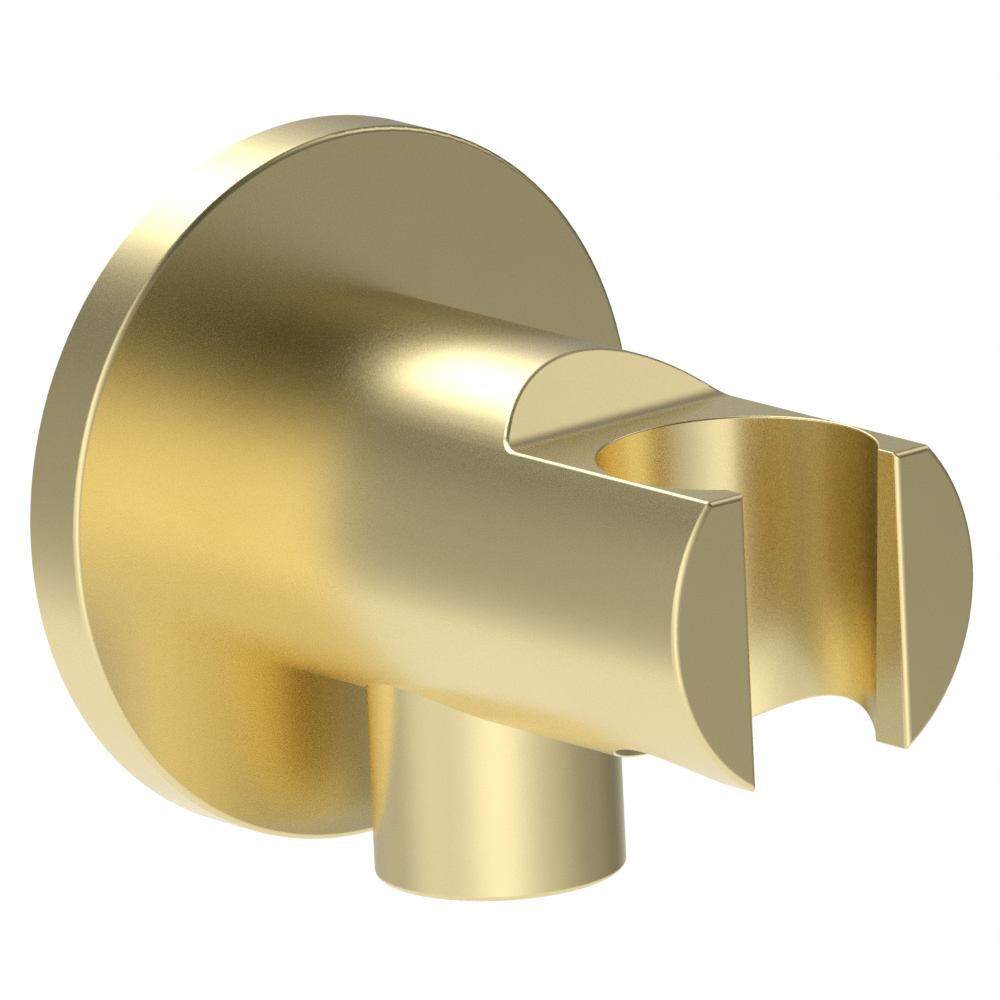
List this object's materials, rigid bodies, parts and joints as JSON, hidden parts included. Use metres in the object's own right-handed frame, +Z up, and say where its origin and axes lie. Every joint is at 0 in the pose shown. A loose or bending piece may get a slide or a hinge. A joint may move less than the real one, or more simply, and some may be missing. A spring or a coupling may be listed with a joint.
{
  "type": "hand shower holder",
  "caption": "Wall elbow with a round flange: its arm ends in a slotted conical socket for a hand shower, and a hose outlet with a non-return valve points down below it.",
  "frame": {"origin": "centre of the flange's back face, in the wall's plane, where the nipple's wall thread starts", "axes": "+Y into the wall along the nipple's thread, +Z up, and the arm reaches out along -Y"},
  "size_m": [0.06, 0.079, 0.06],
  "materials": {
    "satin_brass": "satin, brushed gold",
    "plain_brass": "as turned",
    "seal_rubber": "smooth black",
    "stainless_steel": "plain",
    "washer_rubber": "matt black",
    "gasket_foam": "closed-cell foam, dark grey",
    "valve_plastic": "moulded, off-white",
    "guide_plastic": "moulded, blue",
    "poppet_plastic": "moulded, light grey",
    "spring_steel": "drawn wire"
  },
  "bodies": {
    "holder": {"holder_body": "satin_brass", "wall_nipple": "plain_brass", "nipple_o_ring_front": "seal_rubber", "nipple_o_ring_rear": "seal_rubber", "set_screw": "stainless_steel", "wall_washer": "washer_rubber", "flange_gasket": "gasket_foam", "valve_housing": "valve_plastic", "valve_o_ring": "seal_rubber", "valve_guide": "guide_plastic", "valve_spring": "spring_steel"},
    "poppet": {"valve_poppet": "poppet_plastic", "poppet_seal": "seal_rubber"}
  },
  "joints": [
    {"name": "poppet_slide", "type": "slide", "parent": "holder", "child": "poppet", "axis": [0, 0, -1], "range_m": [0, 0.0025], "stiffness_N_per_m": 150, "springref_m": -0.003, "deforming": ["valve_spring"]}
  ]
}
